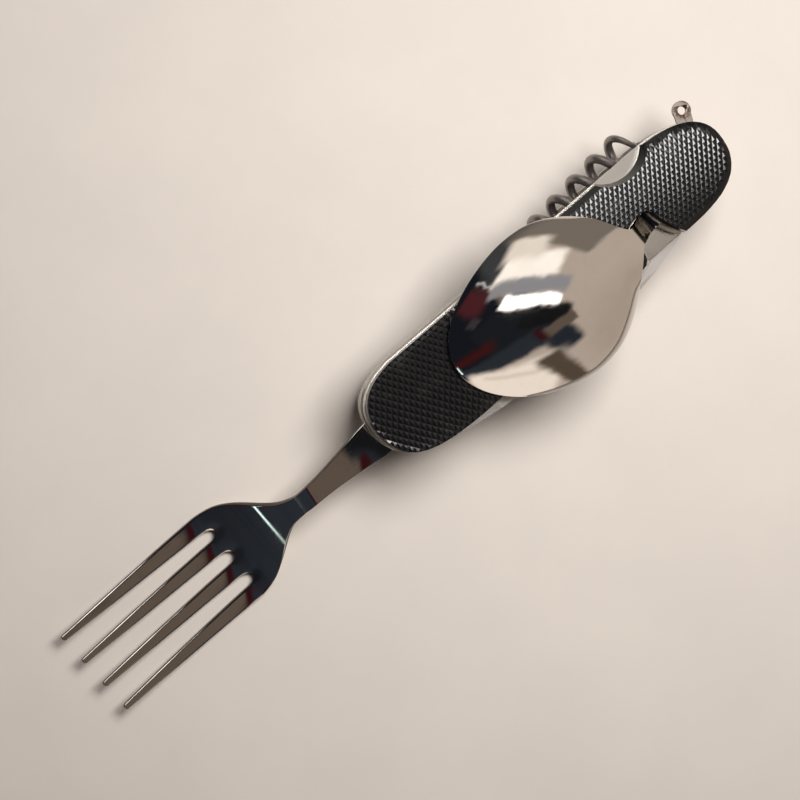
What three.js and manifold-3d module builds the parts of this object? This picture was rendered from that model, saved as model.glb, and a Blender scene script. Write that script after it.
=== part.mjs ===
// Folding picnic cutlery: a spoon, a fork, a knife, an opener and a corkscrew that fold into one riveted handle.
// Millimetres. +X runs along the handle from the fork's end to the lanyard's end, +Y points to the corkscrew's
// side, and +Z through the handle from its back to its front. The origin is on the flat back of the handle.
// The spoon, knife, opener and corkscrew are folded, and the fork is open.

import * as THREE from 'three';
import Module from 'manifold-3d';
import { mergeVertices } from 'three/addons/utils/BufferGeometryUtils.js';

const wasm = await Module();
wasm.setup();

// ---------- driving dimensions ----------

const GAP = 0.1; // between neighbouring layers
const SCALE_THICKNESS = 4.0;
const LINER_THICKNESS = 0.9;
const DIVIDER_THICKNESS = 0.8;
const BLADE_THICKNESS = 2.0;

const SCALE_WEST = -52.6; // fork's end of the scales
const SCALE_EAST = 53.2; // lanyard's end of the scales
const SCALE_NORTH_WEST = 11.5; // the corkscrew edge falls slightly towards the lanyard's end
const SCALE_NORTH_EAST = 10.1;
const SCALE_SOUTH = -11.7;
const LINER_RIM = 0.35; // how far the steel stands out around the scales
const SCALE_CROWN = 1.3; // height and width of the rounded edge of a scale
const SCALE_CROWN_WIDTH = 2.6;

const PIVOT_X = 48; // the end rivets, at -PIVOT_X and +PIVOT_X
const PIVOT_Y = -0.7;
const RIVET_RADIUS = 1.6;
const RIVET_HEAD_RADIUS = 2.6;
const RIVET_HEAD_HEIGHT = 0.8;
const PIVOT_CLEARANCE = 0.06;
const TANG_RADIUS = 4.6;

const SPRING_RIVET = { x: -22, y: 7.3, radius: 1.2 };
const SPRING_INNER = 4.3; // inner edge of a spring at the tangs
const SPRING_WAIST = 1.1; // inner edge beside the corkscrew
const SPRING_STOP = 47.5; // distance from the middle to the end of a spring beside a wide heel

const WELL = { west: -13, east: 40, floor: 4.5, dividerWest: -4.6, dividerFloor: 5.2 }; // the corkscrew's room
const CORK_PIN = { x: -9, y: 8.0, radius: 1.1 };
const CORK_REST_ANGLE = THREE.MathUtils.degToRad(4.4);
const CORK = { wire: 1.15, radius: 2.8, pitch: 6.6, axisOffset: 1.1, wireStart: 6.0, start: 11.1, end: 48.2, tang: 1.7 };

const SPOON_NOTCH = { west: 21.3, east: 28.6, inner: -1.6, corner: 0.9 };
const THUMB_NOTCH = { x: 31.0, y: 16.4, radiusLow: 9.2, radiusHigh: 10.6 };

const SPOON = { centreX: -4.0, centreY: -3.2, length: 52.4, width: 36.8, depth: 8.0, wall: 1.3, rimZ: 18.6 };
const SPOON_BEND = { low: 28.4, high: 22.3, top: 20.4 }; // the bend from the shank up to the bowl
const FORK_BEND = { high: -72.5, low: -85.6 };
const FORK_HEAD = { axisY: 0.5, halfWidth: 12.4, shoulder: -99, root: -94, tip: -137.6, pitch: 7.5, slot: 3.6 };
const FORK_TIP_WIDTH = 1.3;
const KNIFE = { plunge: -26.2, tip: 37.5, spine: -15.9, edge: -1.9, grind: -14.7, edgeThickness: 0.3 };
const OPENER = { tip: 6.5, spine: -11.2, edge: -1.2, hookX: 17.5, hookRadius: 3.4 };
const EYE = { x: 51.9, y: 9.4, radius: 2.3, hole: 1.0 };
const SCALE_PIN = { radius: 0.9, depth: 1.6, spots: [[-34, -5], [40, -8.5]] };

// ---------- layers, from the back up ----------

function stack() {
  const names = [
    ['backScale', SCALE_THICKNESS],
    ['backLiner', LINER_THICKNESS],
    ['forkLayer', BLADE_THICKNESS],
    ['lowerDivider', DIVIDER_THICKNESS],
    ['knifeLayer', BLADE_THICKNESS],
    ['upperDivider', DIVIDER_THICKNESS],
    ['spoonLayer', BLADE_THICKNESS],
    ['frontLiner', LINER_THICKNESS],
    ['frontScale', SCALE_THICKNESS],
  ];
  const levels = {};
  let z = 0;
  for (const [name, thickness] of names) {
    levels[name] = { low: z, high: z + thickness, mid: z + thickness / 2 };
    z += thickness + GAP;
  }
  return levels;
}

const Z = stack();

// ---------- solids ----------

function solidOf(geometry) {
  const bare = geometry.clone();
  bare.deleteAttribute('normal');
  bare.deleteAttribute('uv');
  const merged = mergeVertices(bare, 1e-4);
  const triVerts = new Uint32Array(merged.index.array);
  const solid = new wasm.Manifold(
    new wasm.Mesh({ numProp: 3, vertProperties: new Float32Array(merged.attributes.position.array), triVerts }),
  );
  if (solid.volume() > 0) return solid;
  for (let i = 0; i < triVerts.length; i += 3) {
    [triVerts[i + 1], triVerts[i + 2]] = [triVerts[i + 2], triVerts[i + 1]];
  }
  return new wasm.Manifold(
    new wasm.Mesh({ numProp: 3, vertProperties: new Float32Array(merged.attributes.position.array), triVerts }),
  );
}

function geometryOf(solid) {
  const mesh = solid.getMesh();
  const geometry = new THREE.BufferGeometry();
  geometry.setAttribute('position', new THREE.BufferAttribute(new Float32Array(mesh.vertProperties), 3));
  geometry.setIndex(new THREE.BufferAttribute(new Uint32Array(mesh.triVerts), 1));
  return geometry;
}

function plate(shape, low, high, curveSegments = 12) {
  const geometry = new THREE.ExtrudeGeometry(shape, { depth: high - low, bevelEnabled: false, curveSegments });
  return solidOf(geometry.translate(0, 0, low));
}

function drum(x, y, radius, low, high, segments = 24) {
  const geometry = new THREE.CylinderGeometry(radius, radius, high - low, segments);
  geometry.rotateX(Math.PI / 2);
  return solidOf(geometry.translate(x, y, (low + high) / 2));
}

function block(west, east, south, north, low, high) {
  const geometry = new THREE.BoxGeometry(east - west, north - south, high - low);
  return solidOf(geometry.translate((west + east) / 2, (south + north) / 2, (low + high) / 2));
}

// A profile drawn in X and Z, carried across the handle from Y = south to Y = north.
function acrossY(points, south, north) {
  const shape = new THREE.Shape(points.map(([x, z]) => new THREE.Vector2(x, z)));
  const geometry = new THREE.ExtrudeGeometry(shape, { depth: north - south, bevelEnabled: false });
  const turn = new THREE.Matrix4().makeBasis(
    new THREE.Vector3(1, 0, 0),
    new THREE.Vector3(0, 0, 1),
    new THREE.Vector3(0, -1, 0),
  );
  return solidOf(geometry.applyMatrix4(turn).translate(0, north, 0));
}

// A profile drawn in Y and Z, carried along the handle from X = west to X = east.
function alongX(points, west, east) {
  const shape = new THREE.Shape(points.map(([y, z]) => new THREE.Vector2(y, z)));
  const geometry = new THREE.ExtrudeGeometry(shape, { depth: east - west, bevelEnabled: false });
  const turn = new THREE.Matrix4().makeBasis(
    new THREE.Vector3(0, 1, 0),
    new THREE.Vector3(0, 0, 1),
    new THREE.Vector3(1, 0, 0),
  );
  return solidOf(geometry.applyMatrix4(turn).translate(west, 0, 0));
}

function cutAway(solid, ...cutters) {
  return cutters.reduce((rest, cutter) => rest.subtract(cutter), solid);
}

function smooth(t) {
  const clamped = Math.min(1, Math.max(0, t));
  return clamped * clamped * (3 - 2 * clamped);
}

// ---------- plans ----------

function handlePlan(grow = 0) {
  const west = SCALE_WEST - grow;
  const east = SCALE_EAST + grow;
  const south = SCALE_SOUTH - grow;
  const northWest = SCALE_NORTH_WEST + grow;
  const northEast = SCALE_NORTH_EAST + grow;
  const shape = new THREE.Shape();
  shape.moveTo(west, 0.5);
  shape.bezierCurveTo(west, -8.2, -47, south + 0.3, -30, south);
  shape.lineTo(36, south);
  shape.bezierCurveTo(47.5, south + 0.1, east, -8.2, east, 0.2);
  shape.bezierCurveTo(east, 7, 46, northEast - 0.4, 38, northEast);
  shape.lineTo(-40, northWest);
  shape.bezierCurveTo(-48.5, northWest - 0.6, west, 7.6, west, 0.5);
  return shape;
}

function polygon(points) {
  return new THREE.Shape(points.map(([x, y]) => new THREE.Vector2(x, y)));
}

function rivetHoles(low, high) {
  return [
    drum(-PIVOT_X, PIVOT_Y, RIVET_RADIUS + PIVOT_CLEARANCE, low, high),
    drum(PIVOT_X, PIVOT_Y, RIVET_RADIUS + PIVOT_CLEARANCE, low, high),
    drum(SPRING_RIVET.x, SPRING_RIVET.y, SPRING_RIVET.radius + PIVOT_CLEARANCE, low, high),
  ];
}

// The ring-shaped room that a bent neck sweeps about its rivet. The profile is radius and Z, and the sector runs
// from one angle to another, in degrees from +X.
function sweptRoom(pivotX, profile, fromDegrees, toDegrees) {
  const points = profile.map(([radius, z]) => new THREE.Vector2(radius, z));
  points.push(points[0].clone());
  const ring = new THREE.LatheGeometry(points, 96);
  ring.rotateX(Math.PI / 2);
  ring.translate(pivotX, PIVOT_Y, 0);
  const reach = 60;
  const sector = [[pivotX, PIVOT_Y]];
  for (let i = 0; i <= 4; i += 1) {
    const angle = THREE.MathUtils.degToRad(fromDegrees + ((toDegrees - fromDegrees) * i) / 4);
    sector.push([pivotX + reach * Math.cos(angle), PIVOT_Y + reach * Math.sin(angle)]);
  }
  return solidOf(ring).intersect(plate(polygon(sector), -30, 50));
}

// The spoon's bend lies on the -X side of its rivet and leaves the handle towards -Y.
function spoonNeckRoom() {
  const margin = 0.35;
  const inner = PIVOT_X - SPOON_BEND.low;
  const outer = PIVOT_X - SPOON_BEND.high;
  const floor = Z.spoonLayer.low - margin;
  const profile = [
    [inner - 1.2, floor],
    [outer + 2.5, floor],
    [outer + 2.5, SPOON_BEND.top + margin],
    [outer + 0.4, SPOON_BEND.top + margin],
    [inner - 1.2, Z.spoonLayer.high + margin],
  ];
  return sweptRoom(PIVOT_X, profile, 174, 250);
}

// The folded fork's bend lies on the +X side of its rivet and leaves the handle towards -Y.
function forkNeckRoom() {
  const inner = -FORK_BEND.high - PIVOT_X - 1.2;
  const outer = -FORK_BEND.low - PIVOT_X + 1.5;
  const profile = [
    [inner, -2],
    [outer, -2],
    [outer, Z.forkLayer.low - GAP / 2],
    [inner, Z.forkLayer.low - GAP / 2],
  ];
  return sweptRoom(-PIVOT_X, profile, -66, 12);
}

// ---------- scales and their pins ----------

function crownedBlank() {
  const geometry = new THREE.ExtrudeGeometry(handlePlan(), {
    depth: SCALE_THICKNESS,
    bevelEnabled: true,
    bevelThickness: SCALE_CROWN,
    bevelSize: SCALE_CROWN_WIDTH,
    bevelOffset: -SCALE_CROWN_WIDTH,
    bevelSegments: 3,
    curveSegments: 12,
  });
  const high = SCALE_THICKNESS + SCALE_CROWN;
  const blank = solidOf(geometry);
  return blank.intersect(block(-80, 80, -40, 40, SCALE_CROWN, high)).translate([0, 0, -SCALE_CROWN]);
}

function scaleCutters(low) {
  const headTop = RIVET_HEAD_HEIGHT + 2 * GAP;
  const spots = [[-PIVOT_X, PIVOT_Y], [PIVOT_X, PIVOT_Y], [SPRING_RIVET.x, SPRING_RIVET.y]];
  const heads = spots.map(([x, y]) => drum(x, y, RIVET_HEAD_RADIUS + GAP, low - 1, low + headTop));
  const pins = SCALE_PIN.spots.map(([x, y]) =>
    drum(x, y, SCALE_PIN.radius + PIVOT_CLEARANCE, low - 1, low + SCALE_PIN.depth + GAP, 16),
  );
  return [...heads, ...pins];
}

function frontScale() {
  const { low, high } = Z.frontScale;
  const notch = new THREE.Shape();
  const { west, east, inner, corner } = SPOON_NOTCH;
  const mouth = SCALE_SOUTH;
  notch.moveTo(west - corner * 3, mouth - 3);
  notch.lineTo(west - corner * 3, mouth);
  notch.quadraticCurveTo(west, mouth, west, mouth + corner * 3);
  notch.lineTo(west, inner - corner);
  notch.quadraticCurveTo(west, inner, west + corner, inner);
  notch.lineTo(east - corner, inner);
  notch.quadraticCurveTo(east, inner, east, inner - corner);
  notch.lineTo(east, mouth + corner * 1.5);
  notch.quadraticCurveTo(east, mouth, east + corner * 1.5, mouth);
  notch.lineTo(east + corner * 1.5, mouth - 3);
  const thumb = new THREE.CylinderGeometry(THUMB_NOTCH.radiusHigh, THUMB_NOTCH.radiusLow, 6, 64);
  thumb.rotateX(Math.PI / 2);
  thumb.translate(THUMB_NOTCH.x, THUMB_NOTCH.y, low + 2.5);
  const blank = crownedBlank().translate([0, 0, low]);
  const cutters = [plate(notch, low - 1, high + 1, 6), solidOf(thumb), spoonNeckRoom()];
  return cutAway(blank, ...cutters, ...scaleCutters(low));
}

// The back scale faces down, so it is cut from the same blank turned over about X.
function backScale() {
  const { high } = Z.backScale;
  const turned = [crownedBlank(), ...scaleCutters(0)].map((solid) => solid.mirror([0, 0, 1]));
  const [blank, ...pockets] = turned.map((solid) => solid.translate([0, 0, high]));
  return cutAway(blank, forkNeckRoom(), ...pockets);
}

function scalePin(spot, innerZ, outerZ) {
  const [x, y] = SCALE_PIN.spots[spot];
  return drum(x, y, SCALE_PIN.radius, Math.min(innerZ, outerZ), Math.max(innerZ, outerZ), 16);
}

// ---------- liners and dividers ----------

function liner(level) {
  const { low, high } = level;
  const sheet = plate(handlePlan(LINER_RIM), low, high);
  const pins = SCALE_PIN.spots.map(([x, y]) => drum(x, y, SCALE_PIN.radius + PIVOT_CLEARANCE, low - 1, high + 1, 16));
  return cutAway(sheet, ...rivetHoles(low - 1, high + 1), ...pins);
}

function frontLiner() {
  return cutAway(liner(Z.frontLiner), spoonNeckRoom());
}

function backLiner() {
  return cutAway(liner(Z.backLiner), forkNeckRoom());
}

function divider(level) {
  const { low, high } = level;
  const sheet = plate(handlePlan(LINER_RIM), low, high);
  const well = block(WELL.dividerWest, WELL.east, WELL.dividerFloor, 30, low - 1, high + 1);
  const pin = drum(CORK_PIN.x, CORK_PIN.y, CORK_PIN.radius + PIVOT_CLEARANCE, low - 1, high + 1);
  return cutAway(sheet, well, pin, ...rivetHoles(low - 1, high + 1));
}

// The upper divider carries the lanyard eye.
function upperDivider() {
  const { low, high } = Z.upperDivider;
  const web = polygon([[EYE.x - 4, EYE.y - 4.5], [EYE.x - 0.4, EYE.y - 5.5], [EYE.x + EYE.radius, EYE.y],
    [EYE.x - EYE.radius, EYE.y]]);
  const tab = drum(EYE.x, EYE.y, EYE.radius, low, high).add(plate(web, low, high));
  return cutAway(divider(Z.upperDivider).add(tab), drum(EYE.x, EYE.y, EYE.hole, low - 1, high + 1));
}

// ---------- springs and spacers ----------

// A spring is the strip of the handle's plan along the corkscrew edge, with a waist under the corkscrew. It stops
// short of the rivet of a tool whose heel is wide, so that the open tool has room.
function backSpring(level, west = -60, east = 60) {
  const { low, high } = level;
  const strip = polygon([
    [west, SPRING_INNER], [-36, SPRING_INNER], [WELL.west - 6, SPRING_WAIST + 1.4], [WELL.west, SPRING_WAIST],
    [WELL.east - 1.5, SPRING_WAIST], [WELL.east + 3.2, SPRING_INNER], [east, SPRING_INNER], [east, 20], [west, 20],
  ]);
  const well = polygon([
    [WELL.west - 2.5, 20], [WELL.west, WELL.floor], [WELL.east - 2, WELL.floor], [WELL.east, WELL.floor + 2],
    [WELL.east, 20],
  ]);
  const bar = plate(handlePlan(LINER_RIM - 0.15), low, high).intersect(plate(strip, low, high));
  const hole = drum(SPRING_RIVET.x, SPRING_RIVET.y, SPRING_RIVET.radius + PIVOT_CLEARANCE, low - 1, high + 1);
  return cutAway(bar, plate(well, low - 1, high + 1), hole);
}

// A spacer fills the end of a layer that no blade turns in.
function endSpacer(level, side) {
  const { low, high } = level;
  const inner = side * (PIVOT_X - TANG_RADIUS);
  const [west, east] = side > 0 ? [inner, 60] : [-60, inner];
  const room = block(west, east, -8.5, SPRING_INNER - 0.2, low, high);
  const disc = plate(handlePlan(LINER_RIM - 0.3), low, high).intersect(room);
  return cutAway(disc, drum(side * PIVOT_X, PIVOT_Y, RIVET_RADIUS + PIVOT_CLEARANCE, low - 1, high + 1));
}

// ---------- rivets ----------

// A through rivet with a domed head outside each liner, turned about Z.
function rivet(x, y, radius) {
  const low = Z.backLiner.low - GAP / 2;
  const high = Z.frontLiner.high + GAP / 2;
  const profile = [
    [0, low - RIVET_HEAD_HEIGHT],
    [RIVET_HEAD_RADIUS * 0.6, low - RIVET_HEAD_HEIGHT * 0.85],
    [RIVET_HEAD_RADIUS, low - RIVET_HEAD_HEIGHT * 0.3],
    [RIVET_HEAD_RADIUS, low],
    [radius, low],
    [radius, high],
    [RIVET_HEAD_RADIUS, high],
    [RIVET_HEAD_RADIUS, high + RIVET_HEAD_HEIGHT * 0.3],
    [RIVET_HEAD_RADIUS * 0.6, high + RIVET_HEAD_HEIGHT * 0.85],
    [0, high + RIVET_HEAD_HEIGHT],
  ];
  const geometry = new THREE.LatheGeometry(profile.map(([r, z]) => new THREE.Vector2(r, z)), 24);
  geometry.rotateX(Math.PI / 2);
  return solidOf(geometry).translate([x, y, 0]);
}

// ---------- spoon ----------

// A dome over the unit disc, stretched to the bowl's plan and drawn in towards the neck.
function bowlDome(length, width, depth, skirt) {
  const rows = 8;
  const profile = [new THREE.Vector2(0, -skirt), new THREE.Vector2(1, -skirt)];
  for (let i = skirt > 0 ? 0 : 1; i <= rows; i += 1) {
    const radius = Math.cos((i / rows) * (Math.PI / 2));
    profile.push(new THREE.Vector2(i === rows ? 0 : radius, depth * (1 - radius ** 2) ** 0.72));
  }
  const geometry = new THREE.LatheGeometry(profile, 44);
  geometry.rotateX(Math.PI / 2);
  const place = geometry.attributes.position;
  for (let i = 0; i < place.count; i += 1) {
    const u = place.getX(i);
    const taper = 1 - 0.2 * Math.max(0, u) ** 3;
    place.setXYZ(i, u * (length / 2), place.getY(i) * (width / 2) * taper, place.getZ(i));
  }
  return solidOf(geometry.translate(SPOON.centreX, SPOON.centreY, SPOON.rimZ));
}

function spoonPlan() {
  const shape = new THREE.Shape();
  shape.moveTo(PIVOT_X, PIVOT_Y - TANG_RADIUS);
  shape.absarc(PIVOT_X, PIVOT_Y, TANG_RADIUS, -Math.PI / 2, Math.PI / 2, false);
  shape.bezierCurveTo(41, 3.9, 36, -1.9, SPOON_BEND.low, -2.3);
  shape.lineTo(SPOON_BEND.high, -2.4);
  shape.lineTo(8, 2);
  shape.lineTo(8, -13);
  shape.lineTo(SPOON_BEND.high, -6.9);
  shape.lineTo(SPOON_BEND.low, -6.9);
  shape.bezierCurveTo(37, -6.9, 41, -5.3, PIVOT_X, PIVOT_Y - TANG_RADIUS);
  return shape;
}

function spoon() {
  const { low, high } = Z.spoonLayer;
  const base = SPOON.rimZ;
  const slope = [
    [60, low], [SPOON_BEND.low - 0.9, low], [SPOON_BEND.high - 0.9, base], [4, base],
    [4, SPOON_BEND.top + 0.4], [SPOON_BEND.high, SPOON_BEND.top], [SPOON_BEND.low, high], [60, high],
  ];
  const shank = acrossY(slope, -30, 30).intersect(plate(spoonPlan(), low - 1, SPOON_BEND.top + 2));
  const outer = bowlDome(SPOON.length, SPOON.width, SPOON.depth, 0);
  const inner = bowlDome(SPOON.length - 2 * SPOON.wall, SPOON.width - 2 * SPOON.wall, SPOON.depth - SPOON.wall, 2);
  const hole = drum(PIVOT_X, PIVOT_Y, RIVET_RADIUS + PIVOT_CLEARANCE, low - 1, high + 1);
  return cutAway(shank.add(outer), inner, hole);
}

// ---------- fork ----------

function forkAxis(x) {
  return PIVOT_Y + (FORK_HEAD.axisY - PIVOT_Y) * smooth((-75 - x) / 15);
}

function forkPlan() {
  const halfWidths = [[-54, 4.6], [-60, 3.6], [-66, 2.7], [-72, 2.35], [-77, 2.3], [-80, 2.7], [-83, 4.3],
    [-86, 7.2], [-90, 10.7], [-94, 12.0], [FORK_HEAD.shoulder, FORK_HEAD.halfWidth]];
  const edge = (side) => new THREE.SplineCurve(
    halfWidths.map(([x, half]) => new THREE.Vector2(x, forkAxis(x) + side * half)),
  ).getPoints(28);
  const tipHalf = 1.5 * FORK_HEAD.pitch + FORK_TIP_WIDTH / 2;
  const points = [
    ...edge(1),
    new THREE.Vector2(FORK_HEAD.shoulder - 8, FORK_HEAD.axisY + FORK_HEAD.halfWidth),
    new THREE.Vector2(FORK_HEAD.tip, FORK_HEAD.axisY + tipHalf),
    new THREE.Vector2(FORK_HEAD.tip, FORK_HEAD.axisY - tipHalf),
    new THREE.Vector2(FORK_HEAD.shoulder - 8, FORK_HEAD.axisY - FORK_HEAD.halfWidth),
    ...edge(-1).reverse(),
    new THREE.Vector2(-PIVOT_X - 1, PIVOT_Y - TANG_RADIUS),
  ];
  const shape = new THREE.Shape(points);
  shape.absarc(-PIVOT_X, PIVOT_Y, TANG_RADIUS, -Math.PI / 2, Math.PI / 2, false);
  return shape;
}

// A slot between two tines: round at the root and widening to the tips.
function forkSlot(row) {
  const y = FORK_HEAD.axisY + row * FORK_HEAD.pitch;
  const root = FORK_HEAD.root - FORK_HEAD.slot / 2;
  const mouthHalf = (FORK_HEAD.pitch - FORK_TIP_WIDTH) / 2;
  const shape = new THREE.Shape();
  shape.absarc(root, y, FORK_HEAD.slot / 2, -Math.PI / 2, Math.PI / 2, false);
  shape.lineTo(FORK_HEAD.tip - 1, y + mouthHalf);
  shape.lineTo(FORK_HEAD.tip - 1, y - mouthHalf);
  return plate(shape, -20, 10, 8);
}

function forkProfile() {
  const { low, high } = Z.forkLayer;
  const top = new THREE.SplineCurve([
    [-72.5, high], [-76.5, high - 1.6], [-81.5, high - 5.8], [FORK_BEND.low, -1.7], [-91, -3.5], [-99, -4.4],
    [-110, -4.3], [-124, -3.0], [FORK_HEAD.tip - 1, -0.6],
  ].map(([x, z]) => new THREE.Vector2(x, z))).getPoints(28);
  const thickness = (x) => BLADE_THICKNESS - 0.6 * smooth((FORK_BEND.high - x) / 30);
  const upper = top.map((p) => [p.x, p.y]);
  const lower = top.map((p) => [p.x, p.y - thickness(p.x)]).reverse();
  return [[-30, low], [-30, high], ...upper, ...lower.slice(0, -1), [FORK_BEND.high, low]];
}

function fork() {
  const { low, high } = Z.forkLayer;
  const body = acrossY(forkProfile(), -30, 30).intersect(plate(forkPlan(), -20, high + 1, 16));
  const hole = drum(-PIVOT_X, PIVOT_Y, RIVET_RADIUS + PIVOT_CLEARANCE, low - 1, high + 1);
  return cutAway(body, ...[-1, 0, 1].map(forkSlot), hole);
}

// ---------- knife ----------

function knifePlan() {
  const shape = new THREE.Shape();
  shape.moveTo(-PIVOT_X, PIVOT_Y - TANG_RADIUS);
  shape.bezierCurveTo(-45, -6.5, -43, -10.6, -39.5, -12.2);
  shape.bezierCurveTo(-30, -14.2, -20, -15.9, -8, KNIFE.spine);
  shape.lineTo(14, KNIFE.spine);
  shape.bezierCurveTo(24, -15.2, 32, -13.2, KNIFE.tip, -10.4);
  shape.bezierCurveTo(35, -6.2, 28, KNIFE.edge - 0.6, 18, KNIFE.edge);
  shape.lineTo(KNIFE.plunge - 1, KNIFE.edge);
  shape.quadraticCurveTo(KNIFE.plunge - 3, KNIFE.edge - 1.5, KNIFE.plunge - 5, KNIFE.edge - 0.4);
  shape.lineTo(-PIVOT_X + 6, PIVOT_Y + 1.2);
  shape.lineTo(-PIVOT_X + 3.4, PIVOT_Y + 3.1);
  shape.absarc(-PIVOT_X, PIVOT_Y, TANG_RADIUS, Math.PI * 0.24, Math.PI * 1.5, false);
  return shape;
}

// The ground face on one side of the blade: everything outside a plane that falls from the grind line to the edge.
function grindCutter(side) {
  const { mid } = Z.knifeLayer;
  const face = mid + (side * BLADE_THICKNESS) / 2;
  const edgeZ = mid + (side * KNIFE.edgeThickness) / 2;
  const fall = (edgeZ - face) / (KNIFE.edge - KNIFE.grind);
  const beyond = KNIFE.edge + 3;
  const clear = face + side;
  return alongX([
    [KNIFE.grind, face], [beyond, face + fall * (beyond - KNIFE.grind)], [beyond, clear], [KNIFE.grind, clear],
  ], KNIFE.plunge, KNIFE.tip + 5);
}

function knife() {
  const { low, high } = Z.knifeLayer;
  const hole = drum(-PIVOT_X, PIVOT_Y, RIVET_RADIUS + PIVOT_CLEARANCE, low - 1, high + 1);
  return cutAway(plate(knifePlan(), low, high), grindCutter(1), grindCutter(-1), hole);
}

// ---------- opener ----------

function opener() {
  const { low, high } = Z.forkLayer;
  const shape = new THREE.Shape();
  shape.moveTo(PIVOT_X, PIVOT_Y - TANG_RADIUS);
  shape.absarc(PIVOT_X, PIVOT_Y, TANG_RADIUS, -Math.PI / 2, Math.PI * 0.7, false);
  shape.lineTo(42, OPENER.edge);
  shape.lineTo(OPENER.hookX + OPENER.hookRadius, OPENER.edge);
  shape.absarc(OPENER.hookX, OPENER.edge - 1.2, OPENER.hookRadius, Math.PI * 0.1, Math.PI * 1.02, true);
  shape.lineTo(OPENER.tip + 4.6, OPENER.edge - 1.4);
  shape.lineTo(OPENER.tip, OPENER.edge - 3.2);
  shape.lineTo(OPENER.tip, OPENER.spine + 3.5);
  shape.lineTo(OPENER.tip + 3, OPENER.spine);
  shape.lineTo(40, OPENER.spine);
  shape.quadraticCurveTo(44.5, OPENER.spine + 1, PIVOT_X, PIVOT_Y - TANG_RADIUS);
  const hole = drum(PIVOT_X, PIVOT_Y, RIVET_RADIUS + PIVOT_CLEARANCE, low - 1, high + 1);
  return cutAway(plate(shape, low, high, 8), hole);
}

// ---------- corkscrew ----------

// Centre line of the wire in the corkscrew's own frame: straight at first, then a right-handed helix about X.
class WormCurve extends THREE.Curve {
  getPoint(t, target = new THREE.Vector3()) {
    const x = CORK.wireStart + (CORK.end - CORK.wireStart) * t;
    const turns = Math.max(0, x - CORK.start) / CORK.pitch;
    const radius = CORK.radius * smooth(turns / 0.9);
    const angle = 2 * Math.PI * turns;
    return target.set(x, CORK.axisOffset + radius * Math.cos(angle), radius * Math.sin(angle));
  }
}

function corkscrewWorm() {
  const wire = new THREE.Shape();
  wire.absarc(0, 0, CORK.wire, 0, 2 * Math.PI, false);
  const geometry = new THREE.ExtrudeGeometry(wire, {
    extrudePath: new WormCurve(),
    steps: 80,
    curveSegments: 4,
    bevelEnabled: false,
  });
  return solidOf(geometry);
}

function corkscrew() {
  const half = CORK.tang / 2;
  const eye = drum(0, 0, 2.9, -half, half);
  const tang = plate(polygon([[0, -2], [7, -0.2], [7, 2.4], [0, 2.6]]), -half, half);
  const hole = drum(0, 0, CORK_PIN.radius + PIVOT_CLEARANCE, -2, 2);
  return cutAway(eye.add(tang).add(corkscrewWorm()), hole);
}

// ---------- assembly ----------

const steel = new THREE.MeshStandardMaterial({ color: 0xb9b4ac, roughness: 0.12, metalness: 1 });
const springSteel = new THREE.MeshStandardMaterial({ color: 0xa7a29a, roughness: 0.25, metalness: 1 });
const darkSteel = new THREE.MeshStandardMaterial({ color: 0x54504d, roughness: 0.2, metalness: 1 });
const blackPlastic = new THREE.MeshStandardMaterial({ color: 0x0c0c0d, roughness: 0.25, metalness: 0 });

const handle = new THREE.Group();

function add(name, solid, material) {
  const mesh = new THREE.Mesh(geometryOf(solid), material);
  mesh.name = name;
  handle.add(mesh);
  return mesh;
}

add('back_scale', backScale(), blackPlastic);
add('back_liner', backLiner(), steel);
add('fork', fork(), steel);
add('opener', opener(), steel);
add('fork_spring', backSpring(Z.forkLayer, -60, SPRING_STOP), springSteel);
add('lower_divider', divider(Z.lowerDivider), steel);
add('knife', knife(), steel);
add('knife_spring', backSpring(Z.knifeLayer, -SPRING_STOP), springSteel);
add('knife_layer_spacer', endSpacer(Z.knifeLayer, 1), springSteel);
add('upper_divider', upperDivider(), steel);
add('spoon', spoon(), steel);
add('spoon_spring', backSpring(Z.spoonLayer), springSteel);
add('spoon_layer_spacer', endSpacer(Z.spoonLayer, -1), springSteel);
add('front_liner', frontLiner(), steel);
add('front_scale', frontScale(), blackPlastic);

add('fork_end_rivet', rivet(-PIVOT_X, PIVOT_Y, RIVET_RADIUS), springSteel);
add('lanyard_end_rivet', rivet(PIVOT_X, PIVOT_Y, RIVET_RADIUS), springSteel);
add('spring_rivet', rivet(SPRING_RIVET.x, SPRING_RIVET.y, SPRING_RIVET.radius), springSteel);

for (const spot of [0, 1]) {
  const depth = SCALE_PIN.depth;
  add(`front_scale_pin_${spot + 1}`, scalePin(spot, Z.frontLiner.low, Z.frontScale.low + depth), springSteel);
  add(`back_scale_pin_${spot + 1}`, scalePin(spot, Z.backLiner.high, Z.backScale.high - depth), springSteel);
}

const worm = add('corkscrew', corkscrew(), darkSteel);
worm.position.set(CORK_PIN.x, CORK_PIN.y, Z.knifeLayer.mid);
worm.rotation.z = CORK_REST_ANGLE;
const pinEnds = [Z.lowerDivider.low, Z.upperDivider.high];
add('corkscrew_pin', drum(CORK_PIN.x, CORK_PIN.y, CORK_PIN.radius, ...pinEnds), springSteel);

export default handle;
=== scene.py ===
"""Folding picnic cutlery: a knurled handle with a folded spoon, knife, opener and worm, and an open fork."""

import logging
import math
from dataclasses import dataclass, field
from enum import Enum

import bpy
import numpy as np
from mathutils import Matrix, Vector


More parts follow.
